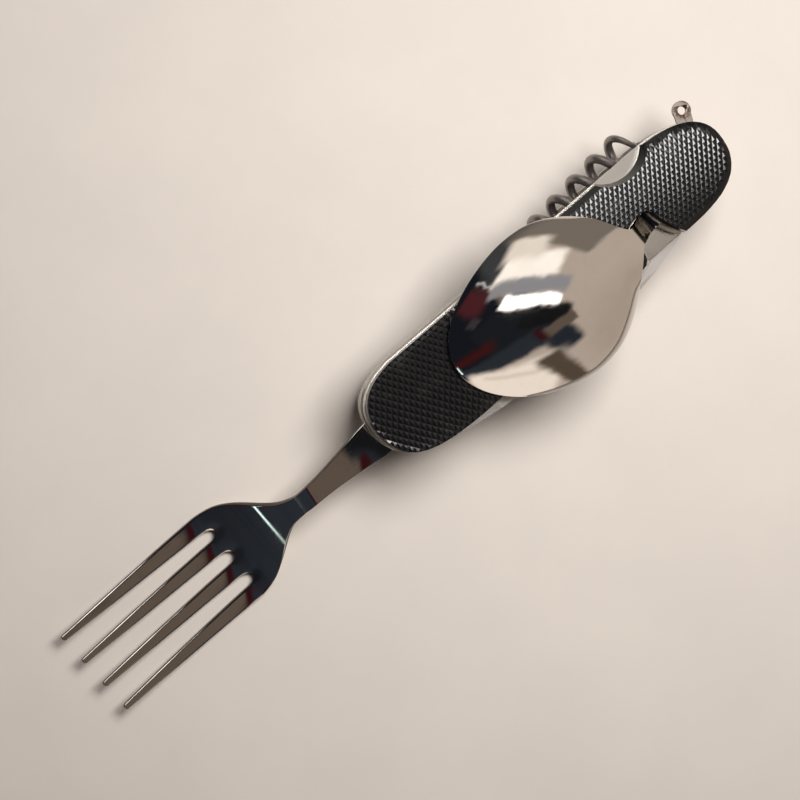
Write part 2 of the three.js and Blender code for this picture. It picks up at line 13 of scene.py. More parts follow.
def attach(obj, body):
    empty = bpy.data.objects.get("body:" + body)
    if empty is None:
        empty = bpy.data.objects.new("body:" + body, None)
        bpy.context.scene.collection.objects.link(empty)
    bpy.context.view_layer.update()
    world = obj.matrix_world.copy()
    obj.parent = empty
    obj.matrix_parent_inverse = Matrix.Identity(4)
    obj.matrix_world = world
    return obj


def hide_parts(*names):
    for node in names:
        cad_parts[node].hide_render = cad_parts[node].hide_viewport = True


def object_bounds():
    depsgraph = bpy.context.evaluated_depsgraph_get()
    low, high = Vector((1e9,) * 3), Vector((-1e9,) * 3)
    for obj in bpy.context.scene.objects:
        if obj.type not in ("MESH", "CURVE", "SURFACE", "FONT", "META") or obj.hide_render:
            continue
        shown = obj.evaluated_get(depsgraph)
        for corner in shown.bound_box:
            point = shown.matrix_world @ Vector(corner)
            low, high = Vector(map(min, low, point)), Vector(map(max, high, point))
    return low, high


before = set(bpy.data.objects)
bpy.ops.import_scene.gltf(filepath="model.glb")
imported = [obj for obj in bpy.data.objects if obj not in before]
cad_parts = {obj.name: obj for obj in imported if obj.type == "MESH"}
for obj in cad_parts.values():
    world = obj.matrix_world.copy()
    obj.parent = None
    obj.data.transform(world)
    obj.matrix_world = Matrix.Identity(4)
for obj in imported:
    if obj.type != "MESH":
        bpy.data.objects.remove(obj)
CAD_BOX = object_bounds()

LOG = logging.getLogger("cutlery")
MM = 0.001
RIVET_BORE = 1.66  # radius of a blade's hole for its rivet, in millimetres
WELD_GAP = 0.000002  # metres
Place = tuple[float, float]
Point = tuple[float, float, float]


# ---------- shader tools ----------


class Value:
    """A number that varies over a surface, held as a socket, with arithmetic."""

    def __init__(self, graph: "Graph", socket: bpy.types.NodeSocket) -> None:
        """Keep the graph and the socket."""
        self.graph = graph
        self.socket = socket

    def math(self, operation: str, *others: "Value | float", clamp: bool = False) -> "Value":
        """Apply a Math node.

        Args:
            operation: the node's operation.
            others: the operands after this value.
            clamp: whether the result stays between 0 and 1.

        Returns:
            The result as a value.
        """
        settings = {"operation": operation, "use_clamp": clamp}
        inputs = dict(enumerate([self, *others]))
        return Value(self.graph, self.graph.add("ShaderNodeMath", settings, inputs).outputs[0])

    def __add__(self, other: "Value | float") -> "Value":
        """Add."""
        return self.math("ADD", other)

    def __mul__(self, other: "Value | float") -> "Value":
        """Multiply."""
        return self.math("MULTIPLY", other)

    def __sub__(self, other: "Value | float") -> "Value":
        """Subtract."""
        return self.math("SUBTRACT", other)

    def __rsub__(self, other: float) -> "Value":
        """Subtract this value from a number."""
        return (self * -1.0) + other

    def __truediv__(self, other: "Value | float") -> "Value":
        """Divide."""
        return self.math("DIVIDE", other)

    __radd__ = __add__
    __rmul__ = __mul__

    def step(self, low: float, high: float) -> "Value":
        """A smooth step over this value.

        Args:
            low: where the step starts from 0.
            high: where it reaches 1.

        Returns:
            The step as a value.
        """
        settings = {"interpolation_type": "SMOOTHSTEP"}
        inputs = {"Value": self, "From Min": low, "From Max": high}
        return Value(self.graph, self.graph.add("ShaderNodeMapRange", settings, inputs).outputs[0])


@dataclass
class Graph:
    """A node tree that nodes are added to."""

    tree: bpy.types.NodeTree

    def add(self, kind: str, settings: dict | None = None, inputs: dict | None = None) -> bpy.types.Node:
        """Add a node.

        Args:
            kind: the node's type.
            settings: its properties, set first.
            inputs: values, values on a surface or sockets, by socket name or number.

        Returns:
            The node.
        """
        node = self.tree.nodes.new(kind)
        for name, value in (settings or {}).items():
            setattr(node, name, value)
        for key, value in (inputs or {}).items():
            socket = node.inputs[key]
            if isinstance(value, Value):
                value = value.socket
            if isinstance(value, bpy.types.NodeSocket):
                self.tree.links.new(value, socket)
            else:
                socket.default_value = value
        return node

    def place(self, stretch: Point = (1, 1, 1), turn: Point = (0, 0, 0)) -> bpy.types.NodeSocket:
        """Object coordinates, stretched and turned.

        Args:
            stretch: the scale along each axis.
            turn: the turn about each axis, in radians.

        Returns:
            The socket that gives the coordinates.
        """
        source = self.add("ShaderNodeTexCoord").outputs["Object"]
        inputs = {"Vector": source, "Scale": stretch, "Rotation": turn}
        return self.add("ShaderNodeMapping", None, inputs).outputs[0]

    def noise(
        self, scale: float, vector: bpy.types.NodeSocket, detail: float = 2.0, rough: float = 0.5
    ) -> Value:
        """Noise at that scale, in cycles per metre."""
        inputs = {"Vector": vector, "Scale": scale, "Detail": detail, "Roughness": rough}
        return Value(self, self.add("ShaderNodeTexNoise", None, inputs).outputs[0])

    def specks(self, scale: float, vector: bpy.types.NodeSocket) -> Value:
        """Distance to the nearest of scattered points."""
        inputs = {"Vector": vector, "Scale": scale}
        return Value(self, self.add("ShaderNodeTexVoronoi", None, inputs).outputs["Distance"])

    def mix(self, factor: "Value | float", first: object, second: object) -> bpy.types.NodeSocket:
        """Mix two colours, given as colours or sockets."""
        inputs = {0: factor, 6: first, 7: second}
        return self.add("ShaderNodeMix", {"data_type": "RGBA"}, inputs).outputs[2]

    def bump(self, height: Value, distance: float, strength: float) -> bpy.types.NodeSocket:
        """A normal from a height that varies from 0 to 1 over that distance in metres."""
        inputs = {"Height": height, "Distance": distance, "Strength": strength}
        return self.add("ShaderNodeBump", None, inputs).outputs[0]


def rgb(red: float, green: float, blue: float) -> tuple[float, float, float, float]:
    """A linear colour with full alpha."""
    return (red, green, blue, 1.0)


def new_surface(name: str, fixed: dict) -> tuple[bpy.types.Material, Graph, bpy.types.Node]:
    """Start a material with one Principled shader.

    Args:
        name: the material's name.
        fixed: values of the shader's sockets that don't vary.

    Returns:
        The material, its graph and the shader.
    """
    material = bpy.data.materials.new(name)
    material.use_nodes = True
    graph = Graph(material.node_tree)
    shader = material.node_tree.nodes["Principled BSDF"]
    for key, value in fixed.items():
        shader.inputs[key].default_value = value
    return material, graph, shader


# ---------- finishes ----------


class Grain(Enum):
    """The way the polishing lines run, as a stretch of Object coordinates."""

    ALONG = (0.06, 1.0, 1.0)
    ACROSS = (1.0, 0.06, 1.0)
    EVEN = (1.0, 1.0, 1.0)


@dataclass(frozen=True)
class Steel:
    """Polished or satin steel with hairlines, haze and specks, and painted shade on its sideways faces."""

    name: str
    colour: tuple[float, float, float]
    rough: float
    haze: float = 0.05
    lines: float = 0.08
    stain: float = 0.12
    grain: Grain = Grain.ALONG
    patina: Point | None = None  # the place of a brown patina, in metres
    cut_and_side_shade: float = 0.0  # how much darker the sideways faces are painted, as painted shade, and how much rougher the blanked edges are
    coat: float = 0.0

    def make(self) -> bpy.types.Material:
        """Build the material.

        Returns:
            The material.
        """
        material, graph, shader = new_surface(self.name, {"Metallic": 1.0, "Coat Weight": self.coat})
        even = graph.place()
        grained = graph.place(self.grain.value, (0.3, 0.2, 0.06))
        cloud = graph.noise(140, even, 4, 0.6).step(0.38, 0.72)
        smear = graph.noise(45, graph.place((1, 0.35, 1), (0, 0, 0.7)), 5, 0.65).step(0.45, 0.75)
        hair = graph.noise(5200, grained, 3, 0.7).step(0.56, 0.8)
        crossed = graph.noise(3800, graph.place((1.0, 0.05, 1.0), (0, 0, 1.1)), 2, 0.6).step(0.62, 0.82)
        dust = 1.0 - graph.specks(1100, even).step(0.02, 0.09)
        lines = hair + crossed * 0.5
        red, green, blue = self.colour
        clean = rgb(red, green, blue)
        warm = rgb(red * 0.86, green * 0.80, blue * 0.72)
        tone = graph.mix(cloud * self.stain * 2, clean, warm)
        tone = graph.mix(lines * self.lines + dust * 0.12, tone, rgb(red * 0.55, green * 0.55, blue * 0.55))
        # painted shade: faces that face sideways are painted darker, by the way their normal points; the
        # same mask also makes them rougher, as a blanked edge is
        facing = graph.add("ShaderNodeNewGeometry").outputs["Normal"]
        rise = Value(graph, graph.add("ShaderNodeSeparateXYZ", None, {0: facing}).outputs[2])
        side = (1.0 - rise.math("ABSOLUTE").step(0.30, 0.80)) * self.cut_and_side_shade
        tone = graph.mix(side, tone, rgb(red * 0.14, green * 0.12, blue * 0.11))
        if self.patina:
            inputs = {0: even, 1: self.patina}
            away = graph.add("ShaderNodeVectorMath", {"operation": "DISTANCE"}, inputs).outputs["Value"]
            near = 1.0 - Value(graph, away).step(0.0012, 0.0024)
            grime = graph.noise(900, even, 4, 0.7).step(0.35, 0.65) * near
            tone = graph.mix(grime, tone, rgb(0.16, 0.075, 0.045))
        graph.tree.links.new(tone, shader.inputs["Base Color"])
        rough = cloud * self.haze + smear * self.haze * 0.7 + lines * self.lines + dust * 0.12
        rough = rough + side * 0.25 + self.rough
        graph.tree.links.new(rough.socket, shader.inputs["Roughness"])
        relief = graph.bump(lines + dust * 0.6, 0.000004, 0.35)
        graph.tree.links.new(relief, shader.inputs["Normal"])
        return material


@dataclass(frozen=True)
class KnurledPlastic:
    """Black moulded glossy plastic with patches of wear and scattered lint."""

    name: str = "knurled_black_plastic"

    def make(self) -> bpy.types.Material:
        """Build the material.

        Returns:
            The material.
        """
        fixed = {"Metallic": 0.0, "Specular IOR Level": 0.3, "IOR": 1.5}
        material, graph, shader = new_surface(self.name, fixed)
        even = graph.place()
        skin = graph.noise(2600, even, 3, 0.6)
        wear = graph.noise(160, even, 4, 0.6).step(0.5, 0.75)
        lint = 1.0 - graph.specks(420, even).step(0.015, 0.06)
        tone = graph.mix(wear * 0.5, rgb(0.0025, 0.0025, 0.003), rgb(0.008, 0.007, 0.006))
        tone = graph.mix(lint * 0.2, tone, rgb(0.05, 0.045, 0.04))
        graph.tree.links.new(tone, shader.inputs["Base Color"])
        rough = skin * 0.05 + wear * 0.05 + lint * 0.2 + 0.11
        graph.tree.links.new(rough.socket, shader.inputs["Roughness"])
        graph.tree.links.new(graph.bump(skin, 0.000012, 0.4), shader.inputs["Normal"])
        return material


@dataclass(frozen=True)
class Board:
    """The pale painted board that the cutlery lies on."""

    name: str = "pale_board"

    def make(self) -> bpy.types.Material:
        """Build the material.

        Returns:
            The material.
        """
        material, graph, shader = new_surface(self.name, {"Specular IOR Level": 0.25})
        even = graph.place()
        mottle = graph.noise(28, even, 5, 0.6).step(0.3, 0.75)
        fibre = graph.noise(420, even, 4, 0.7)
        speck = 1.0 - graph.specks(95, even).step(0.010, 0.035)
        tone = graph.mix(mottle, rgb(0.775, 0.715, 0.662), rgb(0.812, 0.748, 0.690))
        tone = graph.mix(speck * 0.10, tone, rgb(0.45, 0.34, 0.26))
        graph.tree.links.new(tone, shader.inputs["Base Color"])
        graph.tree.links.new((fibre * 0.12 + 0.5).socket, shader.inputs["Roughness"])
        graph.tree.links.new(graph.bump(fibre + mottle * 0.5, 0.00006, 0.30), shader.inputs["Normal"])
        return material


class Finish(Enum):
    """The finishes of the object's pieces."""

    MIRROR = Steel("mirror_steel", (0.70, 0.675, 0.645), 0.035, 0.05, 0.05, 0.10)
    BLADE = Steel("blade_steel", (0.66, 0.64, 0.61), 0.07, 0.05, 0.10, 0.12)
    LINER = Steel("liner_steel", (0.50, 0.47, 0.43), 0.12, 0.08, 0.12, 0.16, cut_and_side_shade=0.8)
    EYE = Steel(
        *("eyed_liner_steel", (0.44, 0.41, 0.38), 0.14, 0.08, 0.12, 0.16),
        patina=(0.0519, 0.0090, 0.0110),
        cut_and_side_shade=0.7,
    )
    SPRING = Steel("spring_steel", (0.50, 0.47, 0.44), 0.18, 0.10, 0.15, 0.2, cut_and_side_shade=0.7)
    RIVET = Steel("rivet_steel", (0.60, 0.57, 0.53), 0.15, 0.08, 0.12, 0.2, Grain.EVEN)
    WORM = Steel("worm_steel", (0.032, 0.027, 0.025), 0.08, 0.05, 0.08, 0.2, Grain.EVEN, coat=0.25)
    # painted shade: the fork's edge walls are painted near black; the high roughness stands for the rough
    # cut edge
    SHEAR = Steel("shaded_cut_edge_steel", (0.075, 0.058, 0.050), 0.36, 0.10, 0.2, 0.25, Grain.EVEN)
    KNURL = KnurledPlastic()

    def material(self) -> bpy.types.Material:
        """The finish's material, made on first use."""
        return bpy.data.materials.get(self.value.name) or self.value.make()


# ---------- mesh tools ----------


def lerp(low: float, high: float, share: float) -> float:
    """The number that share of the way from low to high."""
    return low + (high - low) * share


def smooth(share: float) -> float:
    """A smooth step over 0 to 1."""
    t = min(1.0, max(0.0, share))
    return t * t * (3 - 2 * t)


def follow(table: tuple[Place, ...], x: float) -> float:
    """The level at that X of the line through a table's points."""
    return float(np.interp(x, *zip(*table)))


def new_object(
    name: str, points: list[Point], faces: list[tuple[int, ...]], flat: bool = False
) -> bpy.types.Object:
    """Make a mesh object from millimetre points.

    Args:
        name: the object's name.
        points: its vertices in millimetres.
        faces: its faces, as vertex numbers.
        flat: whether its faces are shaded flat.

    Returns:
        The object, linked to the scene, at the origin.
    """
    mesh = bpy.data.meshes.new(name)
    mesh.from_pydata([(x * MM, y * MM, z * MM) for x, y, z in points], [], faces)
    mesh.polygons.foreach_set("use_smooth", [not flat] * len(mesh.polygons))
    mesh.update()
    made = bpy.data.objects.new(name, mesh)
    bpy.context.scene.collection.objects.link(made)
    return made


@dataclass
class Sheet:
    """A sheet of quads built row by row, facing up."""

    points: list[Point] = field(default_factory=list)
    faces: list[tuple[int, ...]] = field(default_factory=list)

    def row(self, points: list[Point]) -> list[int]:
        """Add a row of points.

        Args:
            points: the points, from -Y to +Y.

        Returns:
            Their numbers.
        """
        first = len(self.points)
        self.points.extend(points)
        return list(range(first, len(self.points)))

    def join(self, west: list[int], east: list[int], skip: tuple[int, ...] = ()) -> None:
        """Fill the strip between two rows that run from -Y to +Y.

        Args:
            west: the numbers of the row nearer -X.
            east: the numbers of the other row.
            skip: the columns that stay open.
        """
        for i in range(len(west) - 1):
            if i not in skip:
                self.faces.append((west[i], east[i], east[i + 1], west[i + 1]))


def loft(name: str, bottom: list[Place], top: list[Place], low: float, high: float) -> bpy.types.Object:
    """A flat-faced solid between two outlines of as many points.

    Args:
        name: the object's name.
        bottom: the lower outline, anticlockwise.
        top: the upper outline, anticlockwise.
        low: the level of the lower outline.
        high: the level of the upper outline.

    Returns:
        The solid.
    """
    count = len(bottom)
    points = [(x, y, low) for x, y in bottom] + [(x, y, high) for x, y in top]
    faces = [tuple(reversed(range(count))), tuple(range(count, 2 * count))]
    faces += [(i, (i + 1) % count, (i + 1) % count + count, i + count) for i in range(count)]
    return new_object(name, points, faces, flat=True)


def prism(name: str, outline: list[Place], low: float, high: float) -> bpy.types.Object:
    """A straight solid on a closed outline that runs anticlockwise."""
    return loft(name, outline, outline, low, high)


def circle(x: float, y: float, radius: float, count: int = 32) -> list[Place]:
    """The outline of a circle."""
    turns = [2 * math.pi * i / count for i in range(count)]
    return [(x + radius * math.cos(t), y + radius * math.sin(t)) for t in turns]


def sector(x: float, y: float, inner: float, outer: float, start: float, end: float) -> list[Place]:
    """The outline of a sector of a ring.

    Args:
        x: the X of the ring's middle.
        y: the Y of the ring's middle.
        inner: the inner radius.
        outer: the outer radius.
        start: the first angle, in degrees.
        end: the last angle, in degrees.

    Returns:
        The outline's points, anticlockwise.
    """
    turns = [math.radians(lerp(start, end, i / 24)) for i in range(25)]
    rim = [(x + outer * math.cos(t), y + outer * math.sin(t)) for t in turns]
    return rim + [(x + inner * math.cos(t), y + inner * math.sin(t)) for t in reversed(turns)]


def apply_stack(piece: bpy.types.Object) -> None:
    """Replace a piece's mesh by the result of its modifiers.

    Args:
        piece: the piece.
    """
    bpy.context.view_layer.update()
    evaluated = piece.evaluated_get(bpy.context.evaluated_depsgraph_get())
    mesh = bpy.data.meshes.new_from_object(evaluated)
    piece.modifiers.clear()
    piece.data = mesh


def combine(piece: bpy.types.Object, tool: bpy.types.Object, operation: str) -> None:
    """Cut or intersect a piece with a tool, which is then removed.

    Args:
        piece: the piece.
        tool: the solid that cuts it.
        operation: DIFFERENCE or INTERSECT.
    """
    stage = piece.modifiers.new("combine", "BOOLEAN")
    stage.operation, stage.solver, stage.object = operation, "EXACT", tool
    apply_stack(piece)
    bpy.data.objects.remove(tool)


def round_edges(piece: bpy.types.Object, width: float, segments: int = 2, angle: float = 35.0) -> None:
    """Round a piece's sharp edges, with a live Bevel.

    Args:
        piece: the piece.
        width: the width of the rounding, in millimetres.
        segments: its segments.
        angle: the least angle of an edge that is rounded, in degrees.
    """
    bevel = piece.modifiers.new("rounded_edges", "BEVEL")
    bevel.width, bevel.segments = width * MM, segments
    bevel.limit_method, bevel.angle_limit = "ANGLE", math.radians(angle)
    bevel.use_clamp_overlap = True


def subdivide(piece: bpy.types.Object, levels: int) -> None:
    """Add a live Subdivision Surface with equal levels in view and render."""
    stage = piece.modifiers.new("subdivision", "SUBSURF")
    stage.levels = stage.render_levels = levels


def wall(piece: bpy.types.Object, thickness: float, weights: list[float] | None = None) -> None:
    """Give an upward sheet its thickness, downwards, with a live Solidify.

    Args:
        piece: the sheet.
        thickness: the full thickness, in millimetres.
        weights: the share of it at each vertex, where it varies.
    """
    stage = piece.modifiers.new("wall", "SOLIDIFY")
    stage.thickness, stage.offset = thickness * MM, -1.0
    stage.use_even_offset = False
    if weights:
        group = piece.vertex_groups.new(name="thickness")
        for index, weight in enumerate(weights):
            group.add([index], weight, "REPLACE")
        stage.vertex_group = group.name


def settle(
    piece: bpy.types.Object, body: str, finish: Finish, nodes: tuple[str, ...] = ()
) -> None:
    """Dress a finished piece and put it on its body.

    Args:
        piece: the piece.
        body: the body that it rides on.
        finish: its finish, unless it is dressed already.
        nodes: the CAD nodes that it stands for.
    """
    if not piece.data.materials:
        piece.data.materials.append(finish.material())
    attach(piece, body)
    if nodes:
        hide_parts(*nodes)
    LOG.info("%s rides on %s in %s", piece.name, body, finish.value.name)


# ---------- handle ----------


@dataclass(frozen=True)
class HandlePlan:
    """The outline shared by the scales, the liners and the dividers, in millimetres."""

    west: float = -52.6
    east: float = 53.2
    south: float = -11.7
    north_west: float = 11.5
    north_east: float = 10.1
    least_step: float = 0.01  # points closer than this are one

    def outline(self, inset: float = 0.0, steps: int = 14) -> list[Place]:
        """The outline as points.

        Args:
            inset: how far it is drawn in.
            steps: the steps along each of its four curves.

        Returns:
            The points, anticlockwise.
        """
        west, east, south = self.west + inset, self.east - inset, self.south + inset
        north_w, north_e = self.north_west - inset, self.north_east - inset
        curves = [
            ((west, 0.5), (west, -8.2), (-47, south + 0.3), (-30, south)),
            ((36, south), (47.5, south + 0.1), (east, -8.2), (east, 0.2)),
            ((east, 0.2), (east, 7), (46, north_e - 0.4), (38, north_e)),
            ((-40, north_w), (-48.5, north_w - 0.6), (west, 7.6), (west, 0.5)),
        ]
        points: list[Place] = []
        for a, b, c, d in curves:
            for i in range(steps + 1):
                t = i / steps
                k = ((1 - t) ** 3, 3 * t * (1 - t) ** 2, 3 * t * t * (1 - t), t**3)
                point = tuple(k[0] * p + k[1] * q + k[2] * r + k[3] * s for p, q, r, s in zip(a, b, c, d))
                if not points or math.dist(point, points[-1]) > self.least_step:
                    points.append(point)
        return points[:-1] if math.dist(points[0], points[-1]) < self.least_step else points


PLAN = HandlePlan()
PIVOT = (48.0, -0.7)


@dataclass
class KnurledScale:
    """A black scale with raised diamonds, rounded along its edge, on the front or the back of the handle."""

    name: str
    body: str
    node: str
    base: float  # the level of its inner face
    up: int  # 1 on the front, -1 on the back
    thickness: float = 4.0
    rise: Place = (0.15, 0.046)  # height of a diamond at the fork's end and the lanyard's end
    half_pitch: Place = (0.885, 0.72)  # along the handle, at the fork's end and the lanyard's end
    row_pitch: float = 1.14
    half_rows: int = 12
    margin: float = 3.0  # how far the field runs past the outline
    lean: float = 0.12
    crown: float = 0.7  # how far the face drops at its edge
    crown_width: float = 1.5
    camber: float = 0.0026  # per millimetre
    rim: float = 0.6  # radius of the rounded edge
    through: Place = (-1.0, 6.0)  # the levels of a cutter that goes through
    pocket: Place = (2.7, 1.0)  # radius and depth of the room for a rivet's head
    pin_hole: Place = (0.96, 1.7)  # radius and depth
    pin_places: tuple[Place, ...] = ((-34.0, -5.0), (40.0, -8.5))
    spring_rivet: Place = (-22.0, 7.3)
    notch: tuple[Place, ...] = (
        (18.6, -14.7),
        (29.9, -14.7),
        (29.9, -11.7),
        (29.1, -11.2),
        (28.6, -10.4),
        (28.6, -2.5),
        (28.3, -1.9),
        (27.7, -1.6),
        (22.2, -1.6),
        (21.6, -1.9),
        (21.3, -2.5),
        (21.3, -9.0),
        (20.9, -10.5),
        (20.0, -11.4),
        (18.6, -11.7),
    )
    fork_room: tuple[float, ...] = (23.3, 39.1, -66.0, 12.0)  # two radii and two angles about the pivot
    spoon_room: tuple[float, ...] = (19.0, 27.6, 186.0, 250.0)
    thumb: Place = (31.0, 16.4)  # the middle of the thumb notch
    thumb_radii: Place = (9.2, 10.7)  # at its lower and upper level
    thumb_levels: Place = (-0.5, 5.5)
    thumb_steps: int = 72

    def edge_distance(self, places: np.ndarray) -> np.ndarray:
        """The distance of each place from the outline.

        Args:
            places: the places, one to a row.

        Returns:
            The distances, negative outside the outline.
        """
        ring = np.array(PLAN.outline())
        nearest = np.full(len(places), 1e9)
        inside = np.zeros(len(places), bool)
        for a, b in zip(ring, np.roll(ring, -1, axis=0)):
            run = b - a
            share = np.clip(((places - a) @ run) / (run @ run), 0, 1)
            nearest = np.minimum(nearest, np.linalg.norm(places - (a + share[:, None] * run), axis=1))
            crosses = (a[1] > places[:, 1]) != (b[1] > places[:, 1])
            reach = a[0] + (places[:, 1] - a[1]) / (b[1] - a[1] + 1e-12) * run[0]
            inside ^= crosses & (places[:, 0] < reach)
        return np.where(inside, nearest, -nearest)

    def columns(self) -> list[float]:
        """The places of the columns of the field, wider apart towards the fork's end.

        Returns:
            The X of each column.
        """
        xs = [PLAN.west - self.margin]
        while xs[-1] < PLAN.east + self.margin:
            share = smooth((xs[-1] + 32) / 60)
            xs.append(xs[-1] + lerp(*self.half_pitch, share))
        return xs

    def roof(self) -> bpy.types.Object:
        """A block whose top is the crowned field of diamonds.

        Returns:
            The block, with the inner face's level at 0.
        """
        xs = self.columns()
        ys = [self.row_pitch * i for i in range(-self.half_rows, self.half_rows + 1)]
        places = np.array([(x + self.lean * y, y) for y in ys for x in xs])
        depth = self.edge_distance(places)
        crown = self.crown * np.clip((places[:, 0] + 30) / 20, 0.1, 1)  # flatter towards the fork's end
        drop = crown * np.clip(1 - depth / self.crown_width, 0, 1.1) ** 2 + self.camber * places[:, 1] ** 2
        share = np.clip((places[:, 0] + 12) / 24, 0, 1)
        rise = self.rise[0] + (self.rise[1] - self.rise[0]) * share
        wide, tall = len(xs), len(ys)
        parity = np.array([(i + j) % 2 for j in range(tall) for i in range(wide)])
        top = self.thickness - drop - rise * parity
        points = [(float(x), float(y), float(z)) for (x, y), z in zip(places, top)]
        faces: list[tuple[int, ...]] = []
        for j in range(tall - 1):
            for i in range(wide - 1):
                a = j * wide + i
                b, c, d = a + 1, a + 1 + wide, a + wide
                faces += [(a, b, d), (b, c, d)] if parity[b] else [(a, b, c), (a, c, d)]
        ring = list(range(wide)) + [(j + 1) * wide - 1 for j in range(1, tall)]
        ring += [tall * wide - 1 - i for i in range(1, wide)] + [j * wide for j in range(tall - 2, 0, -1)]
        floor = len(points)
        points += [(points[i][0], points[i][1], -2.0) for i in ring]
        count = len(ring)
        for k in range(count):
            faces.append((ring[k], floor + k, floor + (k + 1) % count, ring[(k + 1) % count]))
        faces.append(tuple(floor + k for k in reversed(range(count))))
        return new_object("roof", points, faces, flat=True)

    def blank(self) -> bpy.types.Object:
        """The scale's body with a rounded upper edge.

        Returns:
            The body, with its inner face at 0.
        """
        levels = [(0.0, 0.0)]
        for i in range(7):
            t = math.pi / 2 * i / 6
            inset = self.rim * 0.75 * (1 - math.cos(t))
            levels.append((inset, self.thickness - self.rim * (1 - math.sin(t))))
        rings = [[(x, y, z) for x, y in PLAN.outline(inset)] for inset, z in levels]
        count = len(rings[0])
        points = [p for ring in rings for p in ring]
        faces = [tuple(reversed(range(count)))]
        for k in range(len(rings) - 1):
            for i in range(count):
                j = (i + 1) % count
                faces.append((k * count + i, k * count + j, (k + 1) * count + j, (k + 1) * count + i))
        faces.append(tuple((len(rings) - 1) * count + i for i in range(count)))
        return new_object(self.name, points, faces)

    def openings(self) -> list[bpy.types.Object]:
        """The cutters of its rooms and notches.

        Returns:
            The cutters, with the inner face at 0 and the outer face up.
        """
        low, high = self.through
        heads = [(-PIVOT[0], PIVOT[1]), PIVOT, self.spring_rivet]
        cutters = [prism("pocket", circle(x, y, self.pocket[0]), low, self.pocket[1]) for x, y in heads]
        for x, y in self.pin_places:
            cutters.append(prism("pin_hole", circle(x, y, self.pin_hole[0], 16), low, self.pin_hole[1]))
        if self.up < 0:
            room = sector(-PIVOT[0], PIVOT[1], *self.fork_room)
            return cutters + [prism("fork_room", room, low, high)]
        cutters.append(prism("notch", list(self.notch), low, high))
        cutters.append(prism("spoon_room", sector(*PIVOT, *self.spoon_room), low, high))
        lower, upper = (circle(*self.thumb, radius, self.thumb_steps) for radius in self.thumb_radii)
        cutters.append(loft("thumb_room", lower, upper, *self.thumb_levels))
        return cutters

    def build(self) -> bpy.types.Object:
        """Make the scale, put it at its level and dress it.

        Returns:
            The scale.
        """
        piece = self.blank()
        combine(piece, self.roof(), "INTERSECT")
        for cutter in self.openings():
            combine(piece, cutter, "DIFFERENCE")
        piece.data.transform(Matrix.Diagonal((1, 1, self.up, 1)))
        piece.data.transform(Matrix.Translation((0, 0, self.base * MM)))
        if self.up < 0:
            piece.data.flip_normals()
        piece.data.set_sharp_from_angle(angle=math.radians(28))
        piece.data.polygons.foreach_set("use_smooth", [abs(f.normal.z) < 0.9 for f in piece.data.polygons])
        piece.data.update()
        settle(piece, self.body, Finish.KNURL, (self.node,))
        return piece


# ---------- spoon ----------


